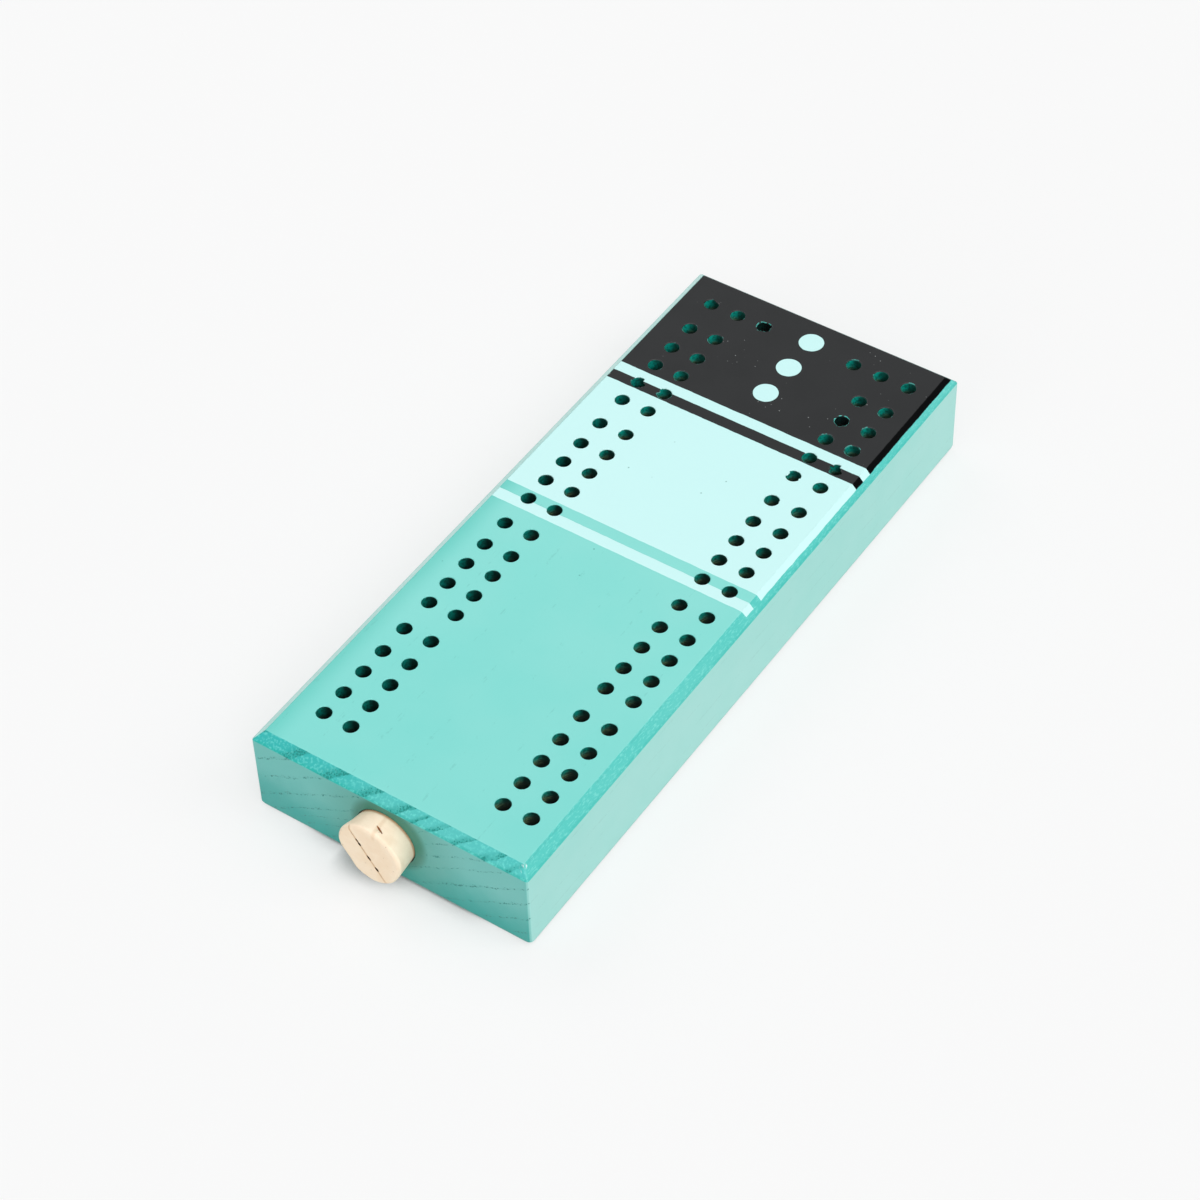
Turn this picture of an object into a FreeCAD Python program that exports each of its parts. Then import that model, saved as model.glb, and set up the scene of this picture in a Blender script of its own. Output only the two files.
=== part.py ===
"""Cribbage board: a painted hardwood block with peg holes and a corked peg store in one end.

Millimetres. The origin is the centre of the block's underside. +Z is up, +Y runs along the
board away from the stopper, and +X is to the right as seen from the stopper's end.
"""
import FreeCAD
import Part
import math
import os

# Block
BOARD_WIDTH = 95.25
BOARD_LENGTH = 234.95
BOARD_HEIGHT = 31.75
TOP_CHAMFER = 3.175        # 45-degree bevel on the four top edges
BOTTOM_ROUND = 2.0         # eased edges round the underside
CORNER_ROUND = 1.0         # eased upright corners

# Peg holes, drilled from the top
PEG_HOLE_DIAMETER = 4.7625
PEG_HOLE_DEPTH = 15.875    # full-diameter wall, above the drill's cone
DRILL_POINT_ANGLE = 118.0
HOLE_STEPS = (9.2, 9.45, 9.45, 10.4)   # between the five holes of one group
GROUP_PITCH = 50.8         # from one group to the next, as many groups as the length takes
FIRST_HOLE_FROM_END = 17.3
HEAD_HOLES = 3             # for each player, beyond the last group
HEAD_HOLE_PITCH = 9.85
HEAD_GAP = 13.2            # from the last track hole to the head holes
FAR_MARGIN = 13.0          # at least this much from the head holes to the far end
ROW_PITCH = 9.525          # between the two rows of one player
LEFT_MARGIN = 13.2         # from the left side to the outer row
RIGHT_MARGIN = 10.5        # from the right side to the outer row

# Peg store, bored into the near end
STORE_DIAMETER = 19.8
STORE_DEPTH = 101.6
STORE_OFFSET = -1.2        # sideways from the block's middle
STORE_RISE = 0.275         # above the block's mid-height

# Stopper, a natural cork with its wide end outside
STOPPER_LENGTH = 25.4
STOPPER_PROTRUSION = 8.3
STOPPER_CLEARANCE = 0.1    # radial, the line between cork and bore
STOPPER_SEAT_LENGTH = 4.6  # squeezed parallel where the bore grips it
STOPPER_FLARE = 1.2        # the outer end's radius, less the seat's
STOPPER_TAPER = 1.05       # the seat's radius, less the inner end's
STOPPER_OUTER_ROUND = 1.3
STOPPER_INNER_ROUND = 0.6

# Pegs, straight dowels with a domed head, a turned groove and a tapered tip
PEG_CLEARANCE = 0.13       # radial, in a peg hole
PEG_LENGTH = 38.1
PEG_DOME = 0.9
PEG_GROOVE_FROM_HEAD = 3.2
PEG_GROOVE_WIDTH = 1.0
PEG_GROOVE_DEPTH = 0.3
PEG_TIP_LENGTH = 4.0
PEG_TIP_TAPER = 0.65       # how much the tip's radius is less than the shank's
PEG_GAP = 0.2              # between pegs that lie together, and to the bore under them
PEG_FROM_STOPPER = 7.0     # free run between the stopper and the nearest peg

# Each peg in the store: name, place in the heap, shift along the bore, head towards the mouth
STORED_PEGS = (
    ("natural_peg_1", "floor_1", 0.0, True),
    ("black_peg_1", "floor_2", 4.5, False),
    ("natural_peg_2", "floor_3", 1.8, False),
    ("black_peg_2", "floor_4", 6.0, True),
    ("natural_peg_3", "groove", 3.1, True),
    ("black_peg_3", "slope", 8.2, False),
)


def near_end():
    return -BOARD_LENGTH / 2


def store_height():
    return BOARD_HEIGHT / 2 + STORE_RISE


def seat_radius():
    """The stopper's radius where the bore grips it."""
    return STORE_DIAMETER / 2 - STOPPER_CLEARANCE


def peg_radius():
    return PEG_HOLE_DIAMETER / 2 - PEG_CLEARANCE


def along_y(shape, x, y, z, reverse=False):
    """Lay a shape that was made about the Z axis along Y, its base at (x, y, z)."""
    turn = 90 if reverse else -90
    shape.rotate(FreeCAD.Vector(0, 0, 0), FreeCAD.Vector(1, 0, 0), turn)
    shape.translate(FreeCAD.Vector(x, y, z))
    return shape


def turned(profile_edges):
    """Solid of revolution about Z from edges that close a half section in the XZ plane."""
    face = Part.Face(Part.Wire(profile_edges))
    return face.revolve(FreeCAD.Vector(0, 0, 0), FreeCAD.Vector(0, 0, 1), 360)


def line(start, end):
    """Straight edge between two (radius, height) points of a half section."""
    return Part.makeLine(FreeCAD.Vector(start[0], 0, start[1]), FreeCAD.Vector(end[0], 0, end[1]))


def polyline(points):
    return [line(a, b) for a, b in zip(points, points[1:])]


def quarter_round(centre, radius, from_angle, to_angle):
    """Arc of a half section about a (radius, height) centre, angles from the outward direction."""
    def at(angle):
        a = math.radians(angle)
        return FreeCAD.Vector(centre[0] + radius * math.cos(a), 0, centre[1] + radius * math.sin(a))
    return Part.Arc(at(from_angle), at((from_angle + to_angle) / 2), at(to_angle)).toShape()


def bevelled_bar(width, length):
    """Bar along Y, centred on X: bevelled along the top, eased along the bottom."""
    side = width / 2
    flat = side - BOTTOM_ROUND
    right_arc = quarter_round((flat, BOTTOM_ROUND), BOTTOM_ROUND, -90, 0)
    left_arc = quarter_round((-flat, BOTTOM_ROUND), BOTTOM_ROUND, 180, 270)
    over_top = polyline([
        (side, BOTTOM_ROUND), (side, BOARD_HEIGHT - TOP_CHAMFER), (side - TOP_CHAMFER, BOARD_HEIGHT),
        (TOP_CHAMFER - side, BOARD_HEIGHT), (-side, BOARD_HEIGHT - TOP_CHAMFER), (-side, BOTTOM_ROUND),
    ])
    underside = line((-flat, 0), (flat, 0))
    face = Part.Face(Part.Wire([right_arc] + over_top + [left_arc, underside]))
    face.translate(FreeCAD.Vector(0, -length / 2, 0))
    return face.extrude(FreeCAD.Vector(0, length, 0))


def shaped_block():
    """Block with eased upright corners, bevelled top edges and eased bottom edges."""
    block = Part.makeBox(BOARD_WIDTH, BOARD_LENGTH, BOARD_HEIGHT,
                         FreeCAD.Vector(-BOARD_WIDTH / 2, near_end(), 0))
    upright = [edge for edge in block.Edges if edge.BoundBox.ZLength > BOARD_HEIGHT / 2]
    block = block.makeFillet(CORNER_ROUND, upright)
    across = bevelled_bar(BOARD_LENGTH, BOARD_WIDTH)
    across.rotate(FreeCAD.Vector(0, 0, 0), FreeCAD.Vector(0, 0, 1), 90)
    return block.common(bevelled_bar(BOARD_WIDTH, BOARD_LENGTH)).common(across)


def track_rows():
    """X of the four rows of track holes, left to right."""
    left = LEFT_MARGIN - BOARD_WIDTH / 2
    right = BOARD_WIDTH / 2 - RIGHT_MARGIN
    return [left, left + ROW_PITCH, right - ROW_PITCH, right]


def track_stations():
    """Y of the holes along each row, in groups of five."""
    one_group = FIRST_HOLE_FROM_END + sum(HOLE_STEPS) + HEAD_GAP + FAR_MARGIN
    groups = 1 + int((BOARD_LENGTH - one_group) // GROUP_PITCH)
    stations = []
    for group in range(groups):
        y = near_end() + FIRST_HOLE_FROM_END + group * GROUP_PITCH
        stations.append(y)
        for step in HOLE_STEPS:
            y += step
            stations.append(y)
    return stations


def head_hole_centres():
    """The head holes of each player, centred on that player's inner row."""
    y = track_stations()[-1] + HEAD_GAP
    inner_rows = track_rows()[1:3]
    middle = (HEAD_HOLES - 1) / 2
    return [(x + (i - middle) * HEAD_HOLE_PITCH, y) for x in inner_rows for i in range(HEAD_HOLES)]


def hole_centres():
    track = [(x, y) for x in track_rows() for y in track_stations()]
    return track + head_hole_centres()


def peg_hole_cutter():
    """Drill shape about Z: top at height 0, straight wall, then the drill's cone."""
    radius = PEG_HOLE_DIAMETER / 2
    cone = radius / math.tan(math.radians(DRILL_POINT_ANGLE / 2))
    points = [(0, 1), (radius, 1), (radius, -PEG_HOLE_DEPTH), (0, -PEG_HOLE_DEPTH - cone), (0, 1)]
    return turned(polyline(points))


def peg_store_cutter():
    bore = Part.makeCylinder(STORE_DIAMETER / 2, STORE_DEPTH + 1)
    return along_y(bore, STORE_OFFSET, near_end() - 1, store_height())


def board_block():
    cutter = peg_hole_cutter()
    cutters = [peg_store_cutter()]
    for x, y in hole_centres():
        hole = cutter.copy()
        hole.translate(FreeCAD.Vector(x, y, BOARD_HEIGHT))
        cutters.append(hole)
    return shaped_block().cut(Part.makeCompound(cutters))


def cork_stopper():
    """Inner end at height 0, outer face at the top, then laid in the bore with the face outside."""
    seat = seat_radius()
    mouth = STOPPER_LENGTH - STOPPER_PROTRUSION
    seat_start = mouth - STOPPER_SEAT_LENGTH
    flare_angle = math.degrees(math.atan2(STOPPER_FLARE, STOPPER_PROTRUSION))
    taper_angle = math.degrees(math.atan2(STOPPER_TAPER, seat_start))

    rim = (seat + STOPPER_FLARE - STOPPER_OUTER_ROUND, STOPPER_LENGTH - STOPPER_OUTER_ROUND)
    toe = (seat - STOPPER_TAPER - STOPPER_INNER_ROUND, STOPPER_INNER_ROUND)
    rim_arc = quarter_round(rim, STOPPER_OUTER_ROUND, -flare_angle, 90)
    toe_arc = quarter_round(toe, STOPPER_INNER_ROUND, -90, -taper_angle)
    rim_start, rim_end = rim_arc.Vertexes[0].Point, rim_arc.Vertexes[1].Point
    toe_start, toe_end = toe_arc.Vertexes[0].Point, toe_arc.Vertexes[1].Point

    profile = [
        line((0, 0), (toe_start.x, toe_start.z)),
        toe_arc,
        line((toe_end.x, toe_end.z), (seat, seat_start)),
        line((seat, seat_start), (seat, mouth)),
        line((seat, mouth), (rim_start.x, rim_start.z)),
        rim_arc,
        line((rim_end.x, rim_end.z), (0, STOPPER_LENGTH)),
        line((0, STOPPER_LENGTH), (0, 0)),
    ]
    return along_y(turned(profile), STORE_OFFSET, near_end() + mouth, store_height(), reverse=True)


def peg():
    """One peg about Z: tip at height 0, domed head at the top."""
    radius = peg_radius()
    tip = radius - PEG_TIP_TAPER
    shoulder = PEG_LENGTH - PEG_DOME
    groove_top = PEG_LENGTH - PEG_GROOVE_FROM_HEAD
    groove_bottom = groove_top - PEG_GROOVE_WIDTH
    groove_radius = radius - PEG_GROOVE_DEPTH
    dome_radius = (radius ** 2 + PEG_DOME ** 2) / (2 * PEG_DOME)
    rise = dome_radius - PEG_DOME
    halfway = math.atan2(rise, radius) / 2 + math.pi / 4
    dome = Part.Arc(
        FreeCAD.Vector(radius, 0, shoulder),
        FreeCAD.Vector(dome_radius * math.cos(halfway), 0,
                       PEG_LENGTH - dome_radius + dome_radius * math.sin(halfway)),
        FreeCAD.Vector(0, 0, PEG_LENGTH),
    ).toShape()
    side = polyline([
        (0, 0), (tip, 0), (radius, PEG_TIP_LENGTH), (radius, groove_bottom),
        (groove_radius, (groove_bottom + groove_top) / 2), (radius, groove_top), (radius, shoulder),
    ])
    return turned(side + [dome, line((0, PEG_LENGTH), (0, 0))])


def heap_places():
    """Centres of the six stored pegs across the bore: four on its floor and two on top."""
    pitch = 2 * peg_radius() + PEG_GAP
    ring = STORE_DIAMETER / 2 - peg_radius() - PEG_GAP
    step = 2 * math.asin(pitch / 2 / ring)
    places = {}
    for i in range(4):
        angle = -math.pi / 2 + (i - 1.5) * step
        places["floor_%d" % (i + 1)] = (ring * math.cos(angle), ring * math.sin(angle))
    places["groove"] = on_top_of(places["floor_2"], places["floor_3"], pitch)
    places["slope"] = on_top_of(places["groove"], places["floor_4"], pitch)
    return places


def on_top_of(left, right, pitch):
    """Centre of a peg that rests on two others, one pitch from each."""
    dx, dz = right[0] - left[0], right[1] - left[1]
    apart = math.hypot(dx, dz)
    rise = math.sqrt(pitch ** 2 - (apart / 2) ** 2)
    return ((left[0] + right[0]) / 2 - dz / apart * rise,
            (left[1] + right[1]) / 2 + dx / apart * rise)


def stored_pegs():
    """The six pegs where they lie in the store, as name and solid."""
    places = heap_places()
    stopper_inside = STOPPER_LENGTH - STOPPER_PROTRUSION
    first = near_end() + stopper_inside + PEG_FROM_STOPPER
    for name, place, shift, head_out in STORED_PEGS:
        x, z = places[place]
        start = first + shift + (PEG_LENGTH if head_out else 0)
        yield name, along_y(peg(), STORE_OFFSET + x, start, store_height() + z, reverse=head_out)


def main():
    os.makedirs("parts", exist_ok=True)
    nodes = {"board_block": board_block(), "cork_stopper": cork_stopper()}
    nodes.update(stored_pegs())
    for name, shape in nodes.items():
        if not shape.isValid() or len(shape.Solids) != 1:
            raise ValueError("%s is not one valid solid" % name)
        shape.Solids[0].exportStep("parts/%s.step" % name)
        print("%-14s %10.1f mm3" % (name, shape.Volume))


main()
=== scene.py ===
import math

import bpy
from mathutils import Matrix, Vector


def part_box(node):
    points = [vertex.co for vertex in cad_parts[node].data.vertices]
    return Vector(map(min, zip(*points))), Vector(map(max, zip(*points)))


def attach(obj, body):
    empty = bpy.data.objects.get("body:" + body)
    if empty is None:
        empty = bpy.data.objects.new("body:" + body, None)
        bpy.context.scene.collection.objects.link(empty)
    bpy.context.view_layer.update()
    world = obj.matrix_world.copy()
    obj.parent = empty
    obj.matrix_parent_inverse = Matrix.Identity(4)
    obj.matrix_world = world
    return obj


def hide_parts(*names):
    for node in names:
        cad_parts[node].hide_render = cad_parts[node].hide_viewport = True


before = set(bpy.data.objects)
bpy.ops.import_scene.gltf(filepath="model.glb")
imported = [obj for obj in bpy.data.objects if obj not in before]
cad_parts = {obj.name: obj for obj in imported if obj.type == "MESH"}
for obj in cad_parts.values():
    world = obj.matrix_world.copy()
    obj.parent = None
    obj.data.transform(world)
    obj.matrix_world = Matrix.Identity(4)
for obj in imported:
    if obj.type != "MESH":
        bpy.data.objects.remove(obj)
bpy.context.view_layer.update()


# ---------------------------------------------------------------- viewpoint
# The camera stands off the block's near right corner and looks down at 47 degrees.
# Its long lens keeps the block's two long edges nearly parallel.
CAMERA_PLACE = (0.390064, -0.559923, 0.738345)
CAMERA_HEADING = 35.4377
CAMERA_DOWN = 46.9329
CAMERA_ROLL = -2.0525
CAMERA_LENS = 99.53
CAMERA_SENSOR = 36.0
CAMERA_FARTHEST = 50.0

camera_data = bpy.data.cameras.new("camera")
camera_data.lens = CAMERA_LENS
camera_data.sensor_width = CAMERA_SENSOR
camera_data.clip_end = CAMERA_FARTHEST
camera = bpy.data.objects.new("camera", camera_data)
bpy.context.scene.collection.objects.link(camera)
turn = Matrix.Rotation(math.radians(CAMERA_HEADING), 4, "Z")
turn = turn @ Matrix.Rotation(math.radians(90.0 - CAMERA_DOWN), 4, "X")
turn = turn @ Matrix.Rotation(math.radians(CAMERA_ROLL), 4, "Z")
camera.matrix_world = Matrix.Translation(CAMERA_PLACE) @ turn
bpy.context.scene.camera = camera
bpy.context.scene.view_settings.view_transform = "Standard"


# ---------------------------------------------------------- table and light
# A wide matt white table under an even white sky, as in a light tent.
# Soft lamps stand high above, lower on the right, at the front right and at the back left,
# and a fifth stands low in front.
FLOOR_REACH = 6.0
FLOOR_COLOUR = (0.925, 0.928, 0.930)
FLOOR_MOTTLE = 0.985
FLOOR_GLOW = (0.928, 0.928, 0.927, 1.0)
FLOOR_SHADOW_SHARE = 0.35
SKY = (1.0, 1.0, 1.0, 1.0)
SKY_STRENGTH = 0.35
SKY_SEEN = 0.925
# What hangs over the table this way from a spot, and this near, darkens it
SHELTERED_FROM = (0.908, -0.243, 0.342)
SHELTER_REACH = 0.014
SHELTER_SAMPLES = 12
# How open to the light a spot is where it is darkest, and where it is fully lit again
SHELTER_OPENNESS = (0.56, 0.84)
# That shade is kept to the stopper's end: millimetres along the block, and to each side
SHADE_ALONG = (-114.0, -117.0)
SHADE_ACROSS = (36.0, 22.0)
# Each lamp's name, strength, spread in degrees and the way towards it
LAMPS = (
    ("high_lamp", 0.77, 35.0, (0.342, 0.0, 0.940)),
    ("right_lamp", 0.57, 35.0, (0.720, 0.262, 0.643)),
    ("front_lamp", 0.95, 35.0, (0.5, -0.5, 0.707)),
    ("back_lamp", 0.48, 40.0, (-0.683, 0.183, 0.707)),
    ("low_fill", 0.50, 35.0, (0.0, -0.940, 0.342)),
)


def feed(tree, node, sockets):
    """Sets or links a node's sockets, by name or number."""
    for name, value in sockets.items():
        if isinstance(value, bpy.types.NodeSocket):
            tree.links.new(value, node.inputs[name])
        else:
            node.inputs[name].default_value = value


def put(tree, kind, settings=None, sockets=None):
    """Adds one node with its settings and sockets."""
    made = tree.nodes.new(kind)
    for name, value in (settings or {}).items():
        setattr(made, name, value)
    feed(tree, made, sockets or {})
    return made


def calc(tree, operation, *values):
    """One sum on numbers or sockets."""
    return put(tree, "ShaderNodeMath", {"operation": operation}, dict(enumerate(values))).outputs[0]


def plus(tree, total, *others):
    """Adds the values up in order."""
    for other in others:
        total = calc(tree, "ADD", total, other)
    return total


def times(tree, product, *others):
    """Multiplies the values in order."""
    for other in others:
        product = calc(tree, "MULTIPLY", product, other)
    return product


def minus(tree, value, other):
    """Takes other from value."""
    return calc(tree, "SUBTRACT", value, other)


def fade(tree, value, low, high, start=0.0, end=1.0):
    """Goes smoothly from start to end while value goes from low to high."""
    sockets = {"Value": value, "From Min": low, "From Max": high, "To Min": start, "To Max": end}
    return put(tree, "ShaderNodeMapRange", {"interpolation_type": "SMOOTHSTEP"}, sockets).outputs[0]


def blend(tree, amount, start, end):
    """Goes from start to end as the amount goes from nought to one."""
    return fade(tree, amount, 0.0, 1.0, start, end)


def cloud(tree, place, scale, detail=2.0):
    """Soft noise, about 0.5 in the middle."""
    sockets = {"Vector": place, "Scale": scale, "Detail": detail}
    return put(tree, "ShaderNodeTexNoise", None, sockets).outputs[0]


def tint(tree, amount, under, over):
    """Lays the colour over on the colour under by amount."""
    sockets = {0: amount}
    for number, colour in ((6, under), (7, over)):
        is_socket = isinstance(colour, bpy.types.NodeSocket)
        sockets[number] = colour if is_socket else (*colour, 1.0)
    return put(tree, "ShaderNodeMix", {"data_type": "RGBA"}, sockets).outputs[2]


def parts(tree, vector):
    """A place's or a heading's numbers, by X, Y and Z."""
    return put(tree, "ShaderNodeSeparateXYZ", None, {0: vector}).outputs


def new_finish(name):
    """An empty material with a Principled shader, and the place on the piece in millimetres."""
    finish = bpy.data.materials.new(name)
    finish.use_nodes = True
    tree = finish.node_tree
    tree.nodes.clear()
    shader = put(tree, "ShaderNodeBsdfPrincipled")
    put(tree, "ShaderNodeOutputMaterial", None, {"Surface": shader.outputs[0]})
    coordinates = put(tree, "ShaderNodeTexCoord")
    scale = {0: coordinates.outputs["Object"], "Scale": 1000.0}
    place = put(tree, "ShaderNodeVectorMath", {"operation": "SCALE"}, scale).outputs[0]
    return finish, tree, shader, place, coordinates.outputs["Normal"]


def seen_directly(tree):
    """One for what is seen straight, in a gloss or through glass; nought for light on things."""
    rays = put(tree, "ShaderNodeLightPath")
    seen = calc(tree, "MAXIMUM", rays.outputs["Is Camera Ray"], rays.outputs["Is Glossy Ray"])
    return calc(tree, "MAXIMUM", seen, rays.outputs["Is Transmission Ray"])


floor_finish, tree, shader, place, facing = new_finish("white_table")
floor_shade = tuple(FLOOR_MOTTLE * part for part in FLOOR_COLOUR)
mottled = tint(tree, cloud(tree, place, 0.004), floor_shade, FLOOR_COLOUR)
feed(tree, shader, {"Base Color": mottled, "Roughness": 0.9, "Specular IOR Level": 0.1})
side, front, up = SHELTERED_FROM
lean = put(tree, "ShaderNodeCombineXYZ", None, {"X": side, "Y": front, "Z": up}).outputs[0]
sockets = {"Distance": SHELTER_REACH, "Normal": lean}
shelter = put(tree, "ShaderNodeAmbientOcclusion", {"samples": SHELTER_SAMPLES}, sockets)
at = parts(tree, place)
off_middle = calc(tree, "ABSOLUTE", at["X"])
by_stopper = times(tree, fade(tree, at["Y"], *SHADE_ALONG), fade(tree, off_middle, *SHADE_ACROSS))
dim = fade(tree, shelter.outputs["AO"], *SHELTER_OPENNESS)
sockets = {"Value": by_stopper, "To Min": 1.0, "To Max": dim}
dim = put(tree, "ShaderNodeMapRange", None, sockets).outputs[0]
glow = put(tree, "ShaderNodeEmission", None, {"Color": FLOOR_GLOW, "Strength": dim})
share = times(tree, seen_directly(tree), 1.0 - FLOOR_SHADOW_SHARE)
both = put(tree, "ShaderNodeMixShader", None, {0: share, 1: shader.outputs[0], 2: glow.outputs[0]})
surface = next(node for node in tree.nodes if node.type == "OUTPUT_MATERIAL")
feed(tree, surface, {"Surface": both.outputs[0]})

floor_mesh = bpy.data.meshes.new("table_top")
reach = FLOOR_REACH
corners = [(-reach, -reach, 0.0), (reach, -reach, 0.0), (reach, reach, 0.0), (-reach, reach, 0.0)]
floor_mesh.from_pydata(corners, [], [(0, 1, 2, 3)])
floor_mesh.materials.append(floor_finish)
floor = bpy.data.objects.new("table_top", floor_mesh)
bpy.context.scene.collection.objects.link(floor)

world = bpy.data.worlds.new("white_sky")
world.use_nodes = True
tree = world.node_tree
tree.nodes.clear()
sky = put(tree, "ShaderNodeBackground", None, {"Color": SKY, "Strength": SKY_STRENGTH})
back = put(tree, "ShaderNodeBackground", None, {"Color": SKY, "Strength": SKY_SEEN})
sockets = {0: seen_directly(tree), 1: sky.outputs[0], 2: back.outputs[0]}
both = put(tree, "ShaderNodeMixShader", None, sockets)
put(tree, "ShaderNodeOutputWorld", None, {"Surface": both.outputs[0]})
bpy.context.scene.world = world

for name, strength, spread, toward_lamp in LAMPS:
    lamp_data = bpy.data.lights.new(name, "SUN")
    lamp_data.energy = strength
    lamp_data.angle = math.radians(spread)
    lamp = bpy.data.objects.new(name, lamp_data)
    lamp.rotation_euler = Vector(toward_lamp).to_track_quat("Z", "Y").to_euler()
    bpy.context.scene.collection.objects.link(lamp)


# ------------------------------------------------------------ painted block
# One solid ash block with bevelled top edges, softened corners and a rounded underside.
# Eighty-six peg holes are drilled in its top, and a wide one in its near end stores pegs.
# It is sprayed teal all over, then masked at the far end and sprayed aqua and black.
MM = 0.001
BLOCK_WIDTH = 95.25
BLOCK_LENGTH = 234.95
BLOCK_HEIGHT = 31.75
BEVEL = 3.175
BEVEL_FOOT = BLOCK_HEIGHT - BEVEL
BEVEL_EASE = 0.6
UNDERSIDE_ROUND = 2.0
UPRIGHT_ROUND = 1.0
# The upright corners open out over the rounded underside, and stay at least this round above
UNDERSIDE_OPENS = 0.8
LEAST_ROUND = 0.3
CORNER_STEPS = 5
UNDERSIDE_STEPS = 5
EASE_STEPS = 3

ROWS = (-34.425, -24.9, 27.6, 37.125)
FIRST_STATION = -100.175
STATION_STEPS = (9.2, 9.45, 9.45, 10.4)
GROUP_PITCH = 50.8
GROUPS = 4
HEAD_STATION = 103.925
HEAD_ROWS = (-34.75, -24.9, -15.05, 17.75, 27.6, 37.45)
# How badly the fibres tore at some holes, and a number for the way they tore, by row and station.
# The other holes are sound
TORN_HOLES = {
    (0, 16): (0.9, 38.5),
    (1, 16): (1.0, 10.0),
    (3, 16): (1.1, 49.5),
    (2, 15): (0.8, 17.0),
    (2, 14): (0.4, 64.5),
    (2, 18): (0.3, 0.0),
}
TORN_HEADS = {0: (0.6, 0.0), 2: (0.4, 0.0)}
SOUND = (0.0, 0.0)

HOLE_RADIUS = 2.38125
HOLE_DEPTH = 15.875
HOLE_SIDES = 48
TIP_ANGLE = 118.0
RIM_EASE = 0.26
RIM_WOBBLE = 0.07
RIM_MOVES_ABOVE = -0.6
# Two rings below the rim keep the wall under it true
TRUE_BELOW_RIM = (-1.3, -0.8)
TEAR_REACH = 0.95
# The noise's scale for each metre, for the wobble and for the torn fibres
WOBBLE_SCALE = 900.0
TEAR_SCALE = 420.0

STORE_PLACE = (-1.2, 16.15)
STORE_RADIUS = 9.9
STORE_SIDES = 96
STORE_BACK = -15.875
MOUTH_EASE = 0.25
# A cutter's eased mouth, as shares of the ease outwards and upwards, and how far it stands out
EASED_MOUTH = ((0.0, -1.0), (0.13, -0.5), (0.5, -0.13), (1.1, 0.1))
CUTTER_STANDS_OUT = 1.0

# The teal differs with the way each face looks. The sides are paler than the top, partly a painted sheen,
# and the ends and bevels darker, partly painted shade
TEAL_TOP = (0.192, 0.660, 0.604)
TEAL_TOP_FAR = (0.226, 0.686, 0.628)
TEAL_TOP_LEFT = (0.116, 0.562, 0.497)
TEAL_BEVEL = (0.066, 0.524, 0.470)
TEAL_END_BEVEL = (0.052, 0.485, 0.455)
TEAL_END_BEVEL_LEFT = (0.022, 0.420, 0.400)
# The left bevel is painted pale, a painted reflection of the bright surroundings
LEFT_BEVEL_REFLECTION = (0.460, 0.800, 0.750)
TEAL_LIP = (0.008, 0.400, 0.350)
TEAL_SIDE = (0.302, 0.664, 0.609)
TEAL_END = (0.111, 0.455, 0.414)
# Painted shade towards the foot of the ends, and along the foot of all the walls
TEAL_END_FOOT_SHADE = (0.003, 0.324, 0.286)
TEAL_FOOT_SHADE = (0.004, 0.150, 0.130)
# The upright corners' pale teal: partly wear, partly a painted highlight
TEAL_WORN_HIGHLIGHT = (0.450, 0.780, 0.730)
TEAL_SCUFF = (0.170, 0.700, 0.640)
TEAL_STREAK = (0.240, 0.730, 0.670)
TEAL_BAND = (0.000, 0.270, 0.235)
TEAL_PORE = (0.002, 0.200, 0.175)
TEAL_DOT = (0.000, 0.220, 0.190)
CLOUDING = (0.900, 0.980, 0.970)
# Painted shade round the stopper on the near end
STOPPER_SHADE_TEAL = (0.000, 0.170, 0.110)
FRAYED = (0.800, 0.930, 0.910)
FRAYED_CORNER = (45.2, -115.2, 30.9)
AQUA = (0.570, 0.882, 0.870)
BLACK = (0.0034, 0.0046, 0.0056)
# The black on the bevels is painted darker still, a painted dark reflection
BLACK_BEVEL_SHADE = (0.0, 0.0, 0.0)
DUST = (0.620, 0.660, 0.660)
RAW_ASH = (0.205, 0.290, 0.135)
RAW_ASH_DARK = (0.030, 0.080, 0.040)
# Painted shade in the holes and at the store's mouth, with grime in smudges
HOLE_SHADE_AND_GRIME = (0.003, 0.012, 0.010)
BORED_ASH = (0.560, 0.420, 0.250)
BORED_ASH_DARK = (0.360, 0.240, 0.130)
TEAL_IN_HOLES = (0.003, 0.335, 0.265)
TEAL_IN_FAR_HOLES = (0.004, 0.410, 0.330)
CHIP = (0.060, 0.420, 0.370)
# A hole's wall is painted lit where it faces this way, towards the lamps, and painted in shade round the
# rest
LIT_SIDE = (0.815, 0.579, 0.0)
# Two holes that the black ran into, by their place, and how far out it is looked for
BLACKENED_HOLES = ((-15.05, 103.925), (27.6, 80.35))
BLACKENED_REACH = (4.2, 4.0)
# Where looks change over the block, each from and to a place in millimetres: the near left
# rows, the far holes, and the store's walls across and along
NEAR_LEFT_ROWS = (-26.0, -31.0)
FAR_HOLES = (20.0, 60.0)
STORE_ACROSS = (13.5, 12.5)
STORE_ALONG = (-11.0, -13.0)
# The painted shade round the stopper: how far its middle is off the store's, and its inner and outer fades
SHADE_HALO_OFF = (1.2, 1.9)
CLOSE_SHADE_HALO = (15.5, 10.8, 0.0, 0.92)
WIDE_SHADE_HALO = (30.0, 12.0, 0.0, 0.32)

# Where each year's wood starts, in millimetres across the rings, and how the rings slant
RING_STARTS = (-24.0, -18.5, -13.0, -7.5, -2.0, 4.1, 8.0, 12.6)
RING_STARTS += (17.0, 20.0, 23.0, 28.3, 34.5, 41.4, 49.0, 55.0)
RING_SLANT = (-0.5, 0.866)

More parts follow.
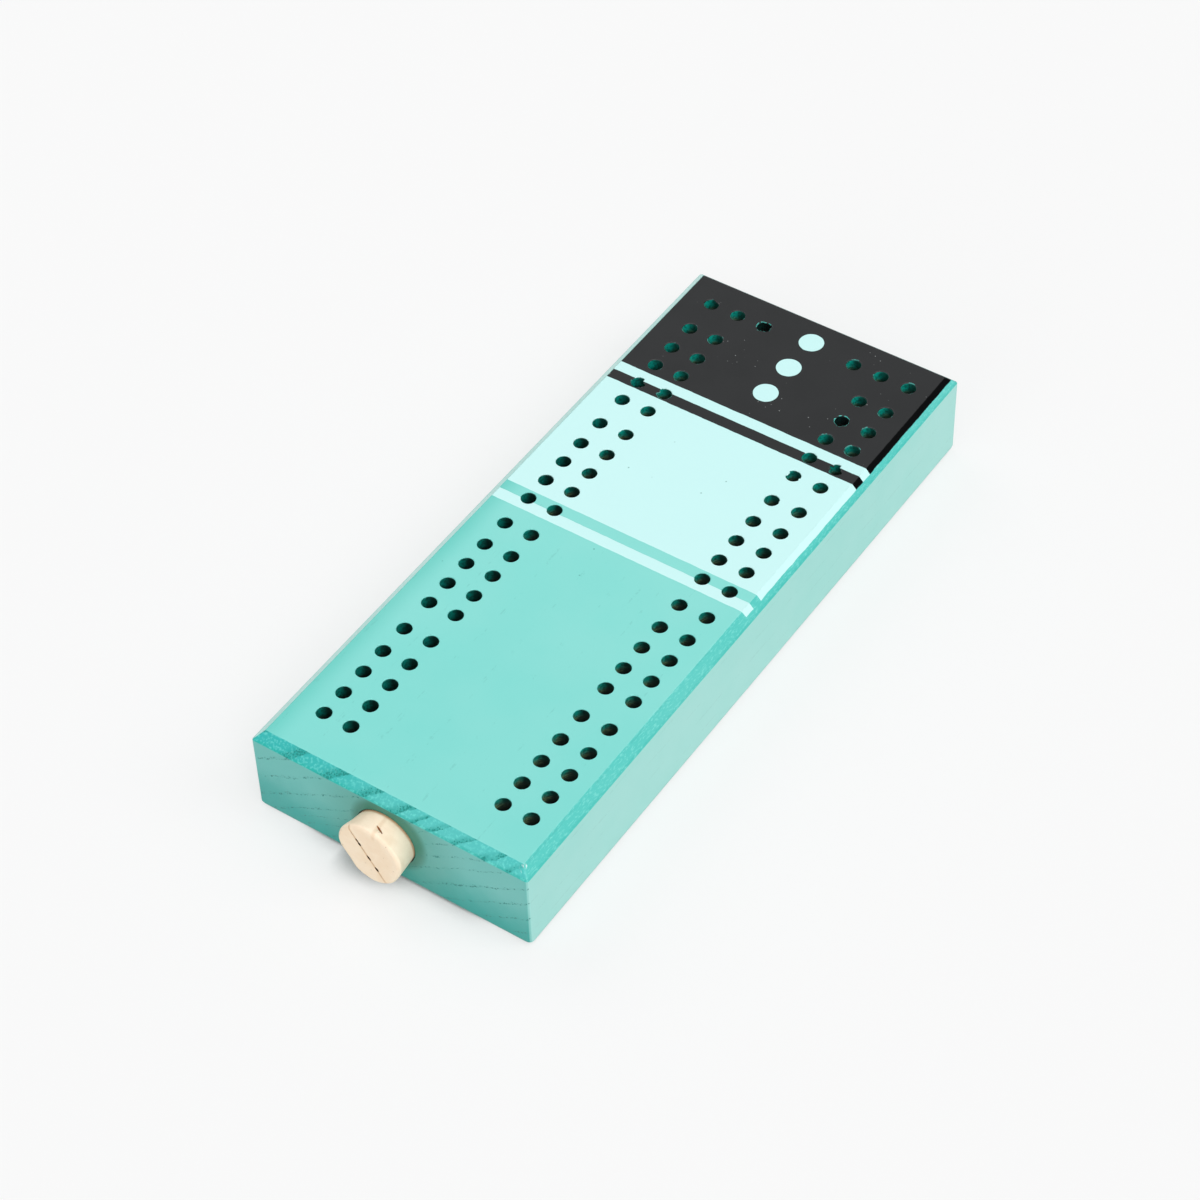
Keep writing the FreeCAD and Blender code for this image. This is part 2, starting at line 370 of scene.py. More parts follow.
# The bands sprayed across the far half, each from and to a distance from the near end
AQUA_BANDS = ((114.0, 118.0), (122.0, 176.0), (180.0, 184.0))
BLACK_BANDS = ((176.0, 180.0), (184.0, 240.0))
DISC_RADIUS = 4.0
DISC_COLUMN = 1.35
DISC_STATIONS = (196.0, 209.5, 223.0)
# Half the blur of a masked edge: on the top, down the bevels and along the left bevel
TAPE_BLUR = 0.06
BEVEL_BLUR = 0.08
LEFT_BLUR = 0.1
# How far the far colours reach down, on the outside and in the holes, and past the left bevel
BANDS_DOWN = 1.5
BANDS_DOWN_HOLES = 0.3
BANDS_LEFT = 0.05


def mesh_object(name, points, faces, finish=None):
    """A mesh object at the origin, from points in millimetres."""
    mesh = bpy.data.meshes.new(name)
    mesh.from_pydata([Vector(p) * MM for p in points], [], faces)
    if finish:
        mesh.materials.append(finish)
    made = bpy.data.objects.new(name, mesh)
    bpy.context.scene.collection.objects.link(made)
    return made


def turned_shape(name, outline, steps, finish=None):
    """A closed turned shape about Z, from (radius, height) points that start and end on the axis."""
    points = [(0.0, 0.0, outline[0][1])]
    for radius, height in outline[1:-1]:
        for step in range(steps):
            angle = 2.0 * math.pi * step / steps
            points.append((radius * math.cos(angle), radius * math.sin(angle), height))
    points.append((0.0, 0.0, outline[-1][1]))
    last = len(points) - 1
    faces = []
    for step in range(steps):
        after = (step + 1) % steps
        faces.append((0, 1 + after, 1 + step))
        for ring in range(len(outline) - 3):
            low = 1 + ring * steps
            faces.append((low + step, low + after, low + steps + after, low + steps + step))
        top = 1 + (len(outline) - 3) * steps
        faces.append((top + step, top + after, last))
    return mesh_object(name, points, faces, finish)


def block_ring(inset, height, radius):
    """The block's outline at one height, with rounded corners."""
    points = []
    for corner, (side, end) in enumerate(((1, 1), (-1, 1), (-1, -1), (1, -1))):
        across = side * (BLOCK_WIDTH / 2 - inset - radius)
        along = end * (BLOCK_LENGTH / 2 - inset - radius)
        for step in range(CORNER_STEPS + 1):
            angle = math.radians(90.0 * (corner + step / CORNER_STEPS))
            points.append((across + radius * math.cos(angle), along + radius * math.sin(angle), height))
    return points


def block_shape(name, finish):
    """The block before it is drilled, as rings from the underside to the top."""
    levels = []
    for step in range(UNDERSIDE_STEPS + 1):
        angle = math.radians(90.0 * step / UNDERSIDE_STEPS)
        inset = UNDERSIDE_ROUND * (1.0 - math.sin(angle))
        levels.append((inset, UNDERSIDE_ROUND * (1.0 - math.cos(angle))))
    run = BEVEL_EASE * math.tan(math.radians(22.5))
    for step in range(EASE_STEPS + 1):
        angle = math.radians(45.0 * step / EASE_STEPS)
        inset = BEVEL_EASE * (1.0 - math.cos(angle))
        levels.append((inset, BEVEL_FOOT - run + BEVEL_EASE * math.sin(angle)))
    for step in range(EASE_STEPS + 1):
        angle = math.radians(45.0 - 45.0 * step / EASE_STEPS)
        inset = BEVEL + run - BEVEL_EASE * math.sin(angle)
        levels.append((inset, BLOCK_HEIGHT - BEVEL_EASE * (1.0 - math.cos(angle))))
    points = []
    for inset, height in levels:
        low = UNDERSIDE_ROUND - height
        corner = max(UPRIGHT_ROUND - inset, LEAST_ROUND)
        if low > 0.0:
            corner = UPRIGHT_ROUND + UNDERSIDE_OPENS * low
        points += block_ring(inset, height, corner)
    around = 4 * (CORNER_STEPS + 1)
    faces = [tuple(reversed(range(around)))]
    for level in range(len(levels) - 1):
        low = level * around
        for step in range(around):
            after = (step + 1) % around
            faces.append((low + step, low + after, low + around + after, low + around + step))
    faces.append(tuple(range(len(points) - around, len(points))))
    return mesh_object(name, points, faces, finish)


def stretched(tree, place, shares):
    """The place with each of its numbers shrunk to a share, so that a pattern draws out that way."""
    return put(tree, "ShaderNodeVectorMath", {"operation": "MULTIPLY"}, {0: place, 1: shares}).outputs[0]


def from_dots(tree, place, scale):
    """The distance to the nearest of many scattered dots."""
    return put(tree, "ShaderNodeTexVoronoi", None, {"Vector": place, "Scale": scale}).outputs["Distance"]


def sway(tree, noise, amount):
    """Noise that swings to both sides of nought."""
    return times(tree, minus(tree, noise, 0.5), amount)


def from_middle(tree, across, along):
    """The straight distance, from two that are square to each other."""
    return calc(tree, "SQRT", plus(tree, times(tree, across, across), times(tree, along, along)))


def relief_on(tree, height, depth, strength=1.0):
    """Bumps from a height between nought and one, with the depth in millimetres."""
    sockets = {"Height": height, "Distance": depth * MM, "Strength": strength}
    return put(tree, "ShaderNodeBump", None, sockets).outputs[0]


def ring_bands(tree, place):
    """Nought to one through each year's wood, from the rings' slant and a slow wander."""
    at = parts(tree, place)
    slow = stretched(tree, place, (1.0, 0.12, 1.0))
    wander = sway(tree, cloud(tree, slow, 0.05), 3.0)
    ripple = sway(tree, cloud(tree, slow, 0.42), 1.1)
    slant_x, slant_z = RING_SLANT
    slant = plus(tree, times(tree, at["X"], slant_x), times(tree, at["Z"], slant_z))
    slant = plus(tree, slant, plus(tree, wander, ripple))
    first, last = RING_STARTS[0], RING_STARTS[-1]
    share = put(tree, "ShaderNodeMapRange", None, {"Value": slant, "From Min": first, "From Max": last})
    curve = put(tree, "ShaderNodeFloatCurve", None, {"Value": share.outputs[0]})
    line = curve.mapping.curves[0]
    years = len(RING_STARTS) - 1
    for year in range(1, years):
        line.points.new((RING_STARTS[year] - first) / (last - first), year / years)
    for point in line.points:
        point.handle_type = "VECTOR"
    curve.mapping.update()
    return calc(tree, "FRACT", times(tree, curve.outputs[0], float(years)))


def open_pores(tree, place, year, spread):
    """Ash's open pores: long tubes along the block, crowded where each year's wood starts."""
    tubes = from_dots(tree, stretched(tree, place, (1.0, 0.05, 1.0)), 1.7)
    clumps = fade(tree, cloud(tree, place, 0.9, 3.0), 0.40, 0.58)
    crowd = times(tree, fade(tree, year, spread, 0.04), fade(tree, year, 0.0, 0.05))
    crowd = times(tree, crowd, plus(tree, times(tree, clumps, 0.75), 0.25))
    girth = plus(tree, times(tree, crowd, 0.52), 0.02)
    return fade(tree, minus(tree, tubes, girth), 0.10, -0.06), crowd


def banded_paint(tree, place, low_edge):
    """How much aqua and how much black lies over the teal, with edges as masking tape leaves them."""
    at = parts(tree, place)
    wobble = sway(tree, cloud(tree, place, 0.35), 0.35)
    along = plus(tree, at["Y"], wobble, BLOCK_LENGTH / 2)
    sprayed = []
    for bands in (AQUA_BANDS, BLACK_BANDS):
        total = 0.0
        for start, end in bands:
            begun = fade(tree, along, start - TAPE_BLUR, start + TAPE_BLUR)
            unfinished = fade(tree, along, end + TAPE_BLUR, end - TAPE_BLUR)
            total = calc(tree, "MAXIMUM", total, times(tree, begun, unfinished))
        sprayed.append(total)
    discs = 0.0
    for station in DISC_STATIONS:
        across = minus(tree, at["X"], DISC_COLUMN)
        reach = from_middle(tree, across, minus(tree, along, station))
        disc = fade(tree, reach, DISC_RADIUS + TAPE_BLUR, DISC_RADIUS - TAPE_BLUR)
        discs = calc(tree, "MAXIMUM", discs, disc)
    height = plus(tree, at["Z"], wobble)
    above = fade(tree, height, low_edge - BEVEL_BLUR, low_edge + BEVEL_BLUR)
    left_edge = BANDS_LEFT - BLOCK_WIDTH / 2 + BEVEL
    above = times(tree, above, fade(tree, at["X"], left_edge - LEFT_BLUR, left_edge + LEFT_BLUR))
    aqua, black = sprayed
    aqua = times(tree, calc(tree, "MAXIMUM", aqua, discs), above)
    black = times(tree, black, minus(tree, 1.0, discs), above)
    return aqua, black


block_paint, tree, shader, place, facing = new_finish("teal_spray_paint")
toward = parts(tree, facing)
at = parts(tree, place)
endways = calc(tree, "ABSOLUTE", toward["Y"])
unsharp = sway(tree, cloud(tree, place, 0.8), 0.22)
upward = fade(tree, plus(tree, toward["Z"], unsharp), 0.80, 0.97)
upright = fade(tree, toward["Z"], 0.62, 0.30)
endward = fade(tree, endways, 0.30, 0.60)
off_top = minus(tree, 1.0, upward)
on_bevel = minus(tree, 1.0, calc(tree, "MAXIMUM", upward, upright))
bevel_end = times(tree, endward, on_bevel)
year = ring_bands(tree, place)
pores, crowd = open_pores(tree, place, year, blend(tree, on_bevel, 0.24, 0.52))

# The ends are painted darker towards the foot and round the stopper, both painted shade, and the upright
# corners are painted paler, partly wear and partly a painted highlight
foot = times(tree, cloud(tree, place, 0.12), 6.0)
foot = plus(tree, at["Z"], foot, times(tree, at["X"], 0.035))
end_teal = tint(tree, fade(tree, foot, 24.0, 5.0), TEAL_END, TEAL_END_FOOT_SHADE)
# Painted shade round the stopper, darkest close to it
across = minus(tree, at["X"], STORE_PLACE[0] + SHADE_HALO_OFF[0])
upwards = minus(tree, at["Z"], STORE_PLACE[1] + SHADE_HALO_OFF[1])
reach = from_middle(tree, across, upwards)
stopper_shade = calc(tree, "MAXIMUM", fade(tree, reach, *CLOSE_SHADE_HALO), fade(tree, reach, *WIDE_SHADE_HALO))
stopper_shade = times(tree, stopper_shade, fade(tree, at["Y"], -100.0, -110.0))
end_teal = tint(tree, stopper_shade, end_teal, STOPPER_SHADE_TEAL)
side_teal = tint(tree, endward, TEAL_SIDE, end_teal)
# Painted shade along the foot of the walls, deepest on the ends
foot_shade = times(tree, fade(tree, at["Z"], 2.3, 0.7), blend(tree, endward, 0.45, 0.85))
side_teal = tint(tree, foot_shade, side_teal, TEAL_FOOT_SHADE)
# The upright corners are painted paler, partly wear and partly a painted highlight
corner = times(tree, fade(tree, endways, 0.15, 0.45), fade(tree, endways, 0.97, 0.80, 0.0, 0.40))
side_teal = tint(tree, corner, side_teal, TEAL_WORN_HIGHLIGHT)

# The bevels, with a thin dark lip where they meet the walls and the left bevel painted pale as a painted
# reflection, and the top
leftward = fade(tree, at["X"], 15.0, -42.0)
end_bevel_teal = tint(tree, leftward, TEAL_END_BEVEL, TEAL_END_BEVEL_LEFT)
faces_left = fade(tree, toward["X"], -0.3, -0.6)
side_bevel_teal = tint(tree, faces_left, TEAL_BEVEL, LEFT_BEVEL_REFLECTION)
bevel_teal = tint(tree, endward, side_bevel_teal, end_bevel_teal)
lip = fade(tree, at["Z"], BEVEL_FOOT + 0.85, BEVEL_FOOT + 0.35)
lip = times(tree, lip, blend(tree, endward, 0.40, 0.85))
bevel_teal = tint(tree, lip, bevel_teal, TEAL_LIP)
# Each face takes its own teal: the paler sides are partly a painted sheen, the darker ends and bevels
# partly painted shade
teal = tint(tree, upright, bevel_teal, side_teal)
top_teal = tint(tree, fade(tree, at["Y"], -120.0, 20.0), TEAL_TOP, TEAL_TOP_FAR)
top_teal = tint(tree, fade(tree, at["X"], -37.0, -47.0), top_teal, TEAL_TOP_LEFT)
teal = tint(tree, upward, teal, top_teal)
clouded = fade(tree, cloud(tree, place, 0.03, 3.0), 0.35, 0.7, 0.0, 0.2)
teal = tint(tree, clouded, teal, tint(tree, 0.16, teal, CLOUDING))

# Scuffs and streaks on the bevels, then the wood's rings, dots and pores through the paint
show_pores = blend(tree, upright, 1.0, 0.95)
show_pores = times(tree, off_top, show_pores, blend(tree, endward, 0.12, 1.0))
short = fade(tree, cloud(tree, place, 0.30, 3.0), 0.50, 0.60, 0.0, 0.13)
show_pores = plus(tree, show_pores, times(tree, upward, short))
scuffed = fade(tree, cloud(tree, place, 1.3, 4.0), 0.46, 0.68, 0.0, 0.50)
teal = tint(tree, times(tree, bevel_end, scuffed), teal, TEAL_SCUFF)
scrape = stretched(tree, place, (1.0, 0.25, 1.0))
streaks = fade(tree, cloud(tree, scrape, 2.8, 4.0), 0.50, 0.68, 0.0, 0.45)
streaks = times(tree, streaks, on_bevel, minus(tree, 1.0, endward))
teal = tint(tree, streaks, teal, TEAL_STREAK)
stain = times(tree, crowd, minus(tree, endward, bevel_end), off_top, 0.12)
teal = tint(tree, stain, teal, TEAL_BAND)
band = times(tree, fade(tree, year, 0.48, 0.14), fade(tree, year, 0.0, 0.06))
band = times(tree, band, fade(tree, cloud(tree, place, 0.35), 0.32, 0.52, 0.45, 1.0))
teal = tint(tree, times(tree, band, bevel_end, 0.62), teal, TEAL_BAND)
dots = minus(tree, from_dots(tree, place, 1.55), times(tree, band, 0.52))
dotted = times(tree, fade(tree, dots, 0.02, -0.10), bevel_end, 0.9)
teal = tint(tree, dotted, teal, TEAL_DOT)
show_pores = times(tree, show_pores, blend(tree, bevel_end, 1.0, 0.15))
pores_shown = times(tree, pores, show_pores)
teal = tint(tree, pores_shown, teal, TEAL_PORE)

# The near right corner has frayed in lines that run over it
sockets = {0: place, 1: FRAYED_CORNER}
from_corner = put(tree, "ShaderNodeVectorMath", {"operation": "DISTANCE"}, sockets).outputs["Value"]
over_hip = plus(tree, at["X"], at["Y"])
down_hip = times(tree, minus(tree, at["X"], at["Y"]), 0.16)
fibre_lines = put(tree, "ShaderNodeCombineXYZ", None, {"X": over_hip, "Y": down_hip}).outputs[0]
frayed = fade(tree, cloud(tree, fibre_lines, 1.6), 0.54, 0.62, 0.0, 0.85)
frayed = times(tree, frayed, fade(tree, from_corner, 1.8, 1.0))
teal = tint(tree, frayed, teal, FRAYED)

# The masked colours, dust that settled in the black, and a few nicks
aqua_on, black_on = banded_paint(tree, place, BLOCK_HEIGHT - BANDS_DOWN)
colour = tint(tree, aqua_on, teal, AQUA)
colour = tint(tree, black_on, colour, BLACK)
settled = fade(tree, cloud(tree, place, 0.06), 0.50, 0.60)
speck = times(tree, fade(tree, from_dots(tree, place, 0.45), 0.10, 0.04), settled)
speck = times(tree, speck, blend(tree, black_on, 0.0, 0.55))
colour = tint(tree, speck, colour, DUST)
# On the bevels the black is painted darker still, a painted dark reflection
colour = tint(tree, times(tree, black_on, on_bevel, 0.7), colour, BLACK_BEVEL_SHADE)
nick = times(tree, fade(tree, from_dots(tree, place, 0.085), 0.035, 0.012), upward)
nick = times(tree, nick, blend(tree, black_on, 0.55, 0.0))
colour = tint(tree, nick, colour, TEAL_PORE)

relief = times(tree, pores_shown, blend(tree, bevel_end, -0.06, -0.02))
peel = times(tree, cloud(tree, place, 0.9), 0.006)
thickness = times(tree, plus(tree, aqua_on, black_on), 0.03)
feed(tree, shader, {
    "Base Color": colour,
    "Metallic": times(tree, black_on, blend(tree, on_bevel, 0.18, 0.97)),
    "Roughness": fade(tree, cloud(tree, place, 0.08, 3.0), 0.3, 0.7, 0.28, 0.38),
    "Specular IOR Level": 0.42,
    "Normal": relief_on(tree, plus(tree, relief, peel, thickness), 1.0),
})

hole_wall, tree, shader, place, facing = new_finish("drilled_ash")
at = parts(tree, place)
deep = minus(tree, BLOCK_HEIGHT, at["Z"])

# Teal runs down into the holes, deepest in the near left ones, over raw torn fibres
near_left = plus(tree, at["X"], times(tree, at["Y"], 0.10))
well_sprayed = fade(tree, near_left, *NEAR_LEFT_ROWS)
reach = plus(tree, times(tree, at["Y"], 0.008), 2.7, times(tree, well_sprayed, 2.6))
reach = plus(tree, reach, sway(tree, cloud(tree, place, 0.4), 3.0))
painted = fade(tree, minus(tree, deep, reach), 1.2, -1.2)
fibres = cloud(tree, stretched(tree, place, (0.35, 0.35, 2.6)), 1.4, 4.0)
fibrous = fade(tree, fibres, 0.38, 0.62)
raw = tint(tree, fibrous, RAW_ASH_DARK, RAW_ASH)
far_on = fade(tree, at["Y"], *FAR_HOLES)
walls = tint(tree, painted, raw, tint(tree, far_on, TEAL_IN_HOLES, TEAL_IN_FAR_HOLES))

# Each hole is painted lit on its side towards the lamps, where bare ash shows, and painted shade darkens
# the rest and the depths. Smudges of grime darken it too, and the near left rows are darker
sockets = {0: facing, 1: LIT_SIDE}
lit_side = put(tree, "ShaderNodeVectorMath", {"operation": "DOT_PRODUCT"}, sockets).outputs["Value"]
rough_edge = plus(tree, sway(tree, fibres, 0.8), times(tree, far_on, 0.25))
hole_shade = fade(tree, plus(tree, lit_side, rough_edge), 0.90, -0.40, 0.0, 0.94)
# The depths are painted darker, a painted shade
sunk = minus(tree, deep, times(tree, lit_side, 1.3))
hole_shade = calc(tree, "MAXIMUM", hole_shade, fade(tree, sunk, 1.8, 4.6, 0.0, 0.93))
hole_shade = times(tree, hole_shade, blend(tree, far_on, 1.0, 0.90))
bare = times(tree, fade(tree, lit_side, 0.60, 1.0), fade(tree, deep, 1.0, 2.2))
bare = times(tree, bare, blend(tree, well_sprayed, 0.65, 0.05))
walls = tint(tree, bare, walls, RAW_ASH)
walls = tint(tree, hole_shade, walls, HOLE_SHADE_AND_GRIME)
smudge = fade(tree, cloud(tree, place, 1.2, 4.0), 0.48, 0.60, 0.0, 0.55)
walls = tint(tree, smudge, walls, HOLE_SHADE_AND_GRIME)
walls = tint(tree, times(tree, well_sprayed, 0.28), walls, HOLE_SHADE_AND_GRIME)

# The store is bored bare, with overspray just inside its mouth, and its mouth's very edge, where the
# stopper sits, is painted near black as a painted shade
off_store = calc(tree, "ABSOLUTE", minus(tree, at["X"], STORE_PLACE[0]))
in_store = times(tree, fade(tree, off_store, *STORE_ACROSS), fade(tree, at["Y"], *STORE_ALONG))
into_store = plus(tree, at["Y"], BLOCK_LENGTH / 2)
spray_end = plus(tree, sway(tree, fibres, 3.0), 4.0)
oversprayed = fade(tree, minus(tree, into_store, spray_end), 1.5, -1.5)
store_wall = tint(tree, fibrous, BORED_ASH_DARK, BORED_ASH)
store_wall = tint(tree, oversprayed, store_wall, TEAL_IN_HOLES)
store_wall = tint(tree, fade(tree, into_store, 0.9, 0.5), store_wall, HOLE_SHADE_AND_GRIME)
walls = tint(tree, in_store, walls, store_wall)

# Black ran into two holes; the rims take the colour of the top, chipped where it is black
blackened = 0.0
for across, along in BLACKENED_HOLES:
    sockets = {0: place, 1: (across, along, 0.0)}
    off = put(tree, "ShaderNodeVectorMath", {"operation": "SUBTRACT"}, sockets).outputs[0]
    sockets = {0: stretched(tree, off, (1.0, 1.0, 0.0))}
    off = put(tree, "ShaderNodeVectorMath", {"operation": "LENGTH"}, sockets).outputs["Value"]
    blackened = calc(tree, "MAXIMUM", blackened, fade(tree, off, *BLACKENED_REACH))
walls = tint(tree, times(tree, blackened, 0.95), walls, BLACK)
aqua_on, black_on = banded_paint(tree, place, BLOCK_HEIGHT - BANDS_DOWN_HOLES)
colour = tint(tree, fade(tree, deep, 0.42, 0.12), walls, TEAL_TOP)
colour = tint(tree, aqua_on, colour, AQUA)
colour = tint(tree, black_on, colour, BLACK)
chipped = fade(tree, cloud(tree, place, 0.33), 0.58, 0.66, 0.0, 0.70)
run_chipped = fade(tree, cloud(tree, place, 0.7), 0.44, 0.52, 0.0, 0.9)
chipped = calc(tree, "MAXIMUM", chipped, times(tree, blackened, run_chipped))
feed(tree, shader, {
    "Base Color": tint(tree, times(tree, black_on, chipped), colour, CHIP),
    "Roughness": blend(tree, painted, 0.75, 0.38),
    "Normal": relief_on(tree, fibres, 0.08),
})

# Each peg hole is a point that holds how badly it tore, and which way
stations = []
for group in range(GROUPS):
    station = FIRST_STATION + group * GROUP_PITCH
    stations.append(station)
    for step in STATION_STEPS:
        station += step
        stations.append(station)
hole_points = []
tears = []
for row, across in enumerate(ROWS):
    for number, station in enumerate(stations):
        hole_points.append((across, station, BLOCK_HEIGHT))
        tears.append(TORN_HOLES.get((row, number), SOUND))
for number, across in enumerate(HEAD_ROWS):
    hole_points.append((across, HEAD_STATION, BLOCK_HEIGHT))
    tears.append(TORN_HEADS.get(number, SOUND))
painted_block = mesh_object("painted_block", hole_points, [])
for name, values in zip(("torn", "tear_way"), zip(*tears)):
    painted_block.data.attributes.new(name, "FLOAT", "POINT").data.foreach_set("value", values)


def cutter_mouth(radius, height, ease):
    """The last points of a cutter's outline, which ease the edge of the hole that it leaves."""
    mouth = [(radius + out * ease, height + up * ease) for out, up in EASED_MOUTH]
    end = height + CUTTER_STANDS_OUT
    return mouth + [(mouth[-1][0], end), (0.0, end)]


tip_depth = HOLE_DEPTH + HOLE_RADIUS / math.tan(math.radians(TIP_ANGLE / 2))
drill_outline = [(0.0, -tip_depth), (HOLE_RADIUS, -HOLE_DEPTH)]
drill_outline += [(HOLE_RADIUS, height) for height in TRUE_BELOW_RIM]
drill_outline += cutter_mouth(HOLE_RADIUS, 0.0, RIM_EASE)
drill = turned_shape("drill", drill_outline, HOLE_SIDES, hole_wall)
spokes = []
for point in drill.data.vertices:
    flat = Vector((point.co.x, point.co.y, 0.0))
    near_rim = 1.0 if point.co.z > RIM_MOVES_ABOVE * MM else 0.0
    spokes += list(flat.normalized() * near_rim)
drill.data.attributes.new("spoke", "FLOAT_VECTOR", "POINT").data.foreach_set("vector", spokes)

store_length = STORE_BACK + BLOCK_LENGTH / 2
store_outline = [(0.0, 0.0), (STORE_RADIUS, 0.0)]
store_outline += cutter_mouth(STORE_RADIUS, store_length, MOUTH_EASE)
store_drill = turned_shape("store_drill", store_outline, STORE_SIDES, hole_wall)
lay_down = Matrix.Rotation(math.radians(90.0), 4, "X")
store_back = Vector((STORE_PLACE[0], STORE_BACK, STORE_PLACE[1]))
store_drill.data.transform(Matrix.Translation(store_back * MM) @ lay_down)
undrilled = block_shape("undrilled_block", block_paint)


def new_shape_tree(name, inputs):
    """A Geometry Nodes tree with named inputs: the tree, what it is given, and their identifiers."""
    tree = bpy.data.node_groups.new(name, "GeometryNodeTree")
    tree.interface.new_socket("Geometry", in_out="INPUT", socket_type="NodeSocketGeometry")
    tree.interface.new_socket("Geometry", in_out="OUTPUT", socket_type="NodeSocketGeometry")
    keys = {}
    for label, kind in inputs:
        socket = tree.interface.new_socket(label, in_out="INPUT", socket_type="NodeSocket" + kind)
        keys[label] = socket.identifier
    return tree, put(tree, "NodeGroupInput").outputs, keys


def shaped(piece, tree, keys, values):
    """Runs the tree on the piece and keeps the result as its plain mesh, with flat faces shaded flat."""
    modifier = piece.modifiers.new(tree.name, "NODES")
    modifier.node_group = tree
    for label, value in values.items():
        modifier[keys[label]] = value
    weighted = piece.modifiers.new("face_weighted", "WEIGHTED_NORMAL")
    weighted.keep_sharp = True
    bpy.context.view_layer.update()
    graph = bpy.context.evaluated_depsgraph_get()
    mesh = bpy.data.meshes.new_from_object(piece.evaluated_get(graph), depsgraph=graph)
    piece.modifiers.clear()
    piece.data = mesh
    mesh.name = piece.name


def shape_of(tree, piece):
    """Another object's shape, as the tree is given it."""
    return put(tree, "GeometryNodeObjectInfo", None, {"Object": piece}).outputs["Geometry"]


def stored(tree, name, kind):
    """What is stored on the points under a name."""
    made = put(tree, "GeometryNodeInputNamedAttribute", {"data_type": kind}, {"Name": name})
    return made.outputs[0]


def crumble(tree, where, way, scale, detail):
    """Noise for broken edges, where way picks one of many patterns."""
    sockets = {"Vector": where, "W": way, "Scale": scale, "Detail": detail}
    return put(tree, "ShaderNodeTexNoise", {"noise_dimensions": "4D"}, sockets).outputs[0]


def pushed(tree, shape, way, amount):
    """The shape with its points moved along way by amount."""
    offset = put(tree, "ShaderNodeVectorMath", {"operation": "SCALE"}, {0: way, "Scale": amount})
    sockets = {"Geometry": shape, "Offset": offset.outputs[0]}
    return put(tree, "GeometryNodeSetPosition", None, sockets).outputs[0]


def set_at(tree, points, tool, **turn_and_size):
    """One tool at each point, as real faces."""
    sockets = {"Points": points, "Instance": tool, **turn_and_size}
    tools = put(tree, "GeometryNodeInstanceOnPoints", None, sockets).outputs[0]
    return put(tree, "GeometryNodeRealizeInstances", None, {0: tools}).outputs[0]


def hand_out(tree, shape, finish, selection=True):
    """Ends the tree: smooth, whole, and with the finish on the faces that are selected."""
    smooth = put(tree, "GeometryNodeSetShadeSmooth", None, {0: shape})
    whole = put(tree, "GeometryNodeRealizeInstances", None, {0: smooth.outputs[0]})
    sockets = {0: whole.outputs[0], "Selection": selection, "Material": finish}
    coated = put(tree, "GeometryNodeSetMaterial", None, sockets)
    put(tree, "NodeGroupOutput", None, {0: coated.outputs[0]})


def cut_and_hand_out(tree, body, cutters, finish, crossing=False):
    """Cuts the cutters out of the body and ends the tree. The cuts keep the cutters' finish."""
    sockets = {"Mesh 1": body, "Mesh 2": cutters, "Self Intersection": crossing}
    cut = put(tree, "GeometryNodeMeshBoolean", {"operation": "DIFFERENCE", "solver": "EXACT"}, sockets)
    slot_number = put(tree, "GeometryNodeInputMaterialIndex").outputs[0]
    hand_out(tree, cut.outputs[0], finish, calc(tree, "LESS_THAN", slot_number, 0.5))


inputs = [("Block", "Object"), ("Drill", "Object"), ("Store drill", "Object"), ("Rim wobble", "Float")]
inputs += [("Tear reach", "Float"), ("Seed", "Float"), ("Paint", "Material")]
tree, given, keys = new_shape_tree("drilled_block", inputs)
drills = set_at(tree, given["Geometry"], shape_of(tree, given["Drill"]))
where = put(tree, "GeometryNodeInputPosition").outputs[0]
fine = crumble(tree, where, given["Seed"], WOBBLE_SCALE, 2.0)
way = plus(tree, stored(tree, "tear_way", "FLOAT"), given["Seed"])
coarse = crumble(tree, where, way, TEAR_SCALE, 6.0)
out = times(tree, sway(tree, fine, given["Rim wobble"]), 2.0)
bite = times(tree, fade(tree, coarse, 0.50, 0.60), given["Tear reach"], stored(tree, "torn", "FLOAT"))
drills = pushed(tree, drills, stored(tree, "spoke", "FLOAT_VECTOR"), minus(tree, out, bite))
cutters = put(tree, "GeometryNodeJoinGeometry")
feed(tree, cutters, {0: shape_of(tree, given["Store drill"])})
feed(tree, cutters, {0: drills})
cut_and_hand_out(tree, shape_of(tree, given["Block"]), cutters.outputs[0], given["Paint"])

values = {
    "Block": undrilled,
    "Drill": drill,
    "Store drill": store_drill,
    "Rim wobble": RIM_WOBBLE * MM,
    "Tear reach": TEAR_REACH * MM,
    "Seed": 3.0,
    "Paint": block_paint,
}
shaped(painted_block, tree, keys, values)
for tool in (undrilled, drill, store_drill):
    bpy.data.objects.remove(tool)
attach(painted_block, "board")
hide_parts("board_block")


# ------------------------------------------------------------- cork stopper
# A natural cork, pushed in the mouth of the store with its wide end out.
# It is cut from bark, so it has short dark pores, and an old split runs across its face.
CORK_AXIS = STORE_PLACE
CORK_FACE = -125.775
CORK_LENGTH = 25.4
CORK_OUT = 8.3
CORK_SEAT = 4.6
CORK_SEAT_RADIUS = 9.8
CORK_FACE_RADIUS = 11.0
CORK_TOE_RADIUS = 8.75
CORK_RIM_ROUND = 1.3
CORK_TOE_ROUND = 0.6
CORK_SIDES = 96
# The flare outside the block bulges a little: its share of the flare and of the length
CORK_BULGE = (0.45, 0.42)
RIM_STEPS = 6
TOE_STEPS = 4
TOE_STEP_ANGLE = 29.0
FACE_RINGS = (0.8, 0.6, 0.4, 0.2)
CORK_UNEVEN = 0.12
UNEVEN_SCALE = 260.0
# Where its rim has worn flat: how deep, the heading round the axis in degrees, and how narrow
CORK_FLATS = ((1.70, 214.0, 0.09), (0.77, -25.0, 0.07))
CORK_PALE = (0.900, 0.745, 0.565)
